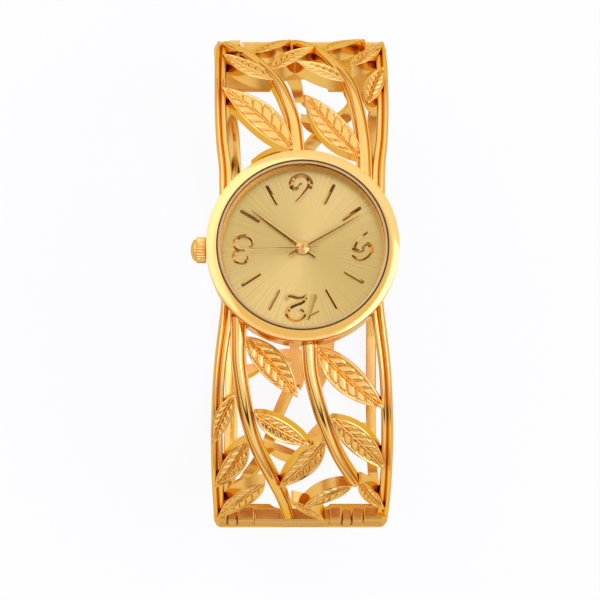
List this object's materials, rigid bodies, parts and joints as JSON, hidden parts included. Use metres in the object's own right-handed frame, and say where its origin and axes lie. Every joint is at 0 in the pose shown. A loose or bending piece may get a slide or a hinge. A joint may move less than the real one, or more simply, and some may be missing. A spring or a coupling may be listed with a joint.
{
  "type": "cuff watch",
  "caption": "Hinged bangle wristwatch: round quartz head on an openwork vine-and-leaf cuff that opens on a side hinge and closes with a spring clasp.",
  "frame": {"origin": "centre of the wrist opening", "axes": "+Z out of the dial, +Y toward twelve o'clock and the hinge, +X toward three o'clock and the crown"},
  "size_m": [0.027, 0.0662, 0.0567],
  "materials": {
    "gold": "polished gold plate",
    "gold_applied": "polished gold plate",
    "dial": "champagne sunray",
    "glass": "clear",
    "clear_seal": "translucent",
    "rubber": "matt",
    "holder": "moulded",
    "movement": "nickel plate",
    "steel": "polished",
    "copper": "enamelled wire",
    "board": "lacquered board"
  },
  "bodies": {
    "head": {"case_body": "gold", "bezel": "gold", "crystal": "glass", "crystal_gasket": "clear_seal", "rehaut_ring": "gold_applied", "dial": "dial", "dial_markers": "gold_applied", "dial_numerals": "gold_applied", "case_back": "gold", "case_back_gasket": "rubber", "movement_holder": "holder", "movement_plate": "movement", "train_bridge": "movement", "battery": "steel", "motor_coil": "copper", "circuit_board": "board", "crown_tube": "gold", "shoulder_12": "gold", "shoulder_6": "gold", "hinge_pins": "steel"},
    "back_half": {"back_band": "gold", "clasp_spring": "steel"},
    "push": {"clasp_push": "gold"},
    "seconds": {"seconds_arbor": "steel", "second_hand": "gold_applied"},
    "minutes": {"cannon_pinion": "steel", "minute_hand": "gold_applied"},
    "hours": {"hour_wheel": "gold_applied", "hour_hand": "gold_applied"},
    "crown_slide": {"setting_lever": "steel"},
    "crown_set": {"crown": "gold", "winding_stem": "steel", "crown_gasket": "rubber"}
  },
  "joints": [
    {"name": "back_hinge", "type": "hinge", "parent": "head", "child": "back_half", "pos_m": [0, 0.0321, 0], "axis": [1, 0, 0], "range_deg": [0, 70], "deforming": ["clasp_spring"]},
    {"name": "clasp_press", "type": "slide", "parent": "back_half", "child": "push", "axis": [0, 1, 0], "range_m": [0, 0.00045], "stiffness_N_per_m": 100, "deforming": ["clasp_spring"]},
    {"name": "seconds_turn", "type": "hinge", "parent": "head", "child": "seconds", "pos_m": [0, 0, 0.0285], "axis": [0, 0, -1], "continuous": true},
    {"name": "minute_turn", "type": "hinge", "parent": "head", "child": "minutes", "pos_m": [0, 0, 0.0285], "axis": [0, 0, -1], "continuous": true},
    {"name": "hour_turn", "type": "hinge", "parent": "head", "child": "hours", "pos_m": [0, 0, 0.0285], "axis": [0, 0, -1], "continuous": true},
    {"name": "crown_pull", "type": "slide", "parent": "head", "child": "crown_slide", "axis": [1, 0, 0], "range_m": [0, 0.0009]},
    {"name": "crown_turn", "type": "hinge", "parent": "crown_slide", "child": "crown_set", "pos_m": [0.013, 0, 0.0263], "axis": [1, 0, 0], "continuous": true}
  ],
  "couplings": [
    {"joint": "minute_turn", "follows": "seconds_turn", "ratio": 0.016667},
    {"joint": "hour_turn", "follows": "seconds_turn", "ratio": 0.0013889}
  ]
}
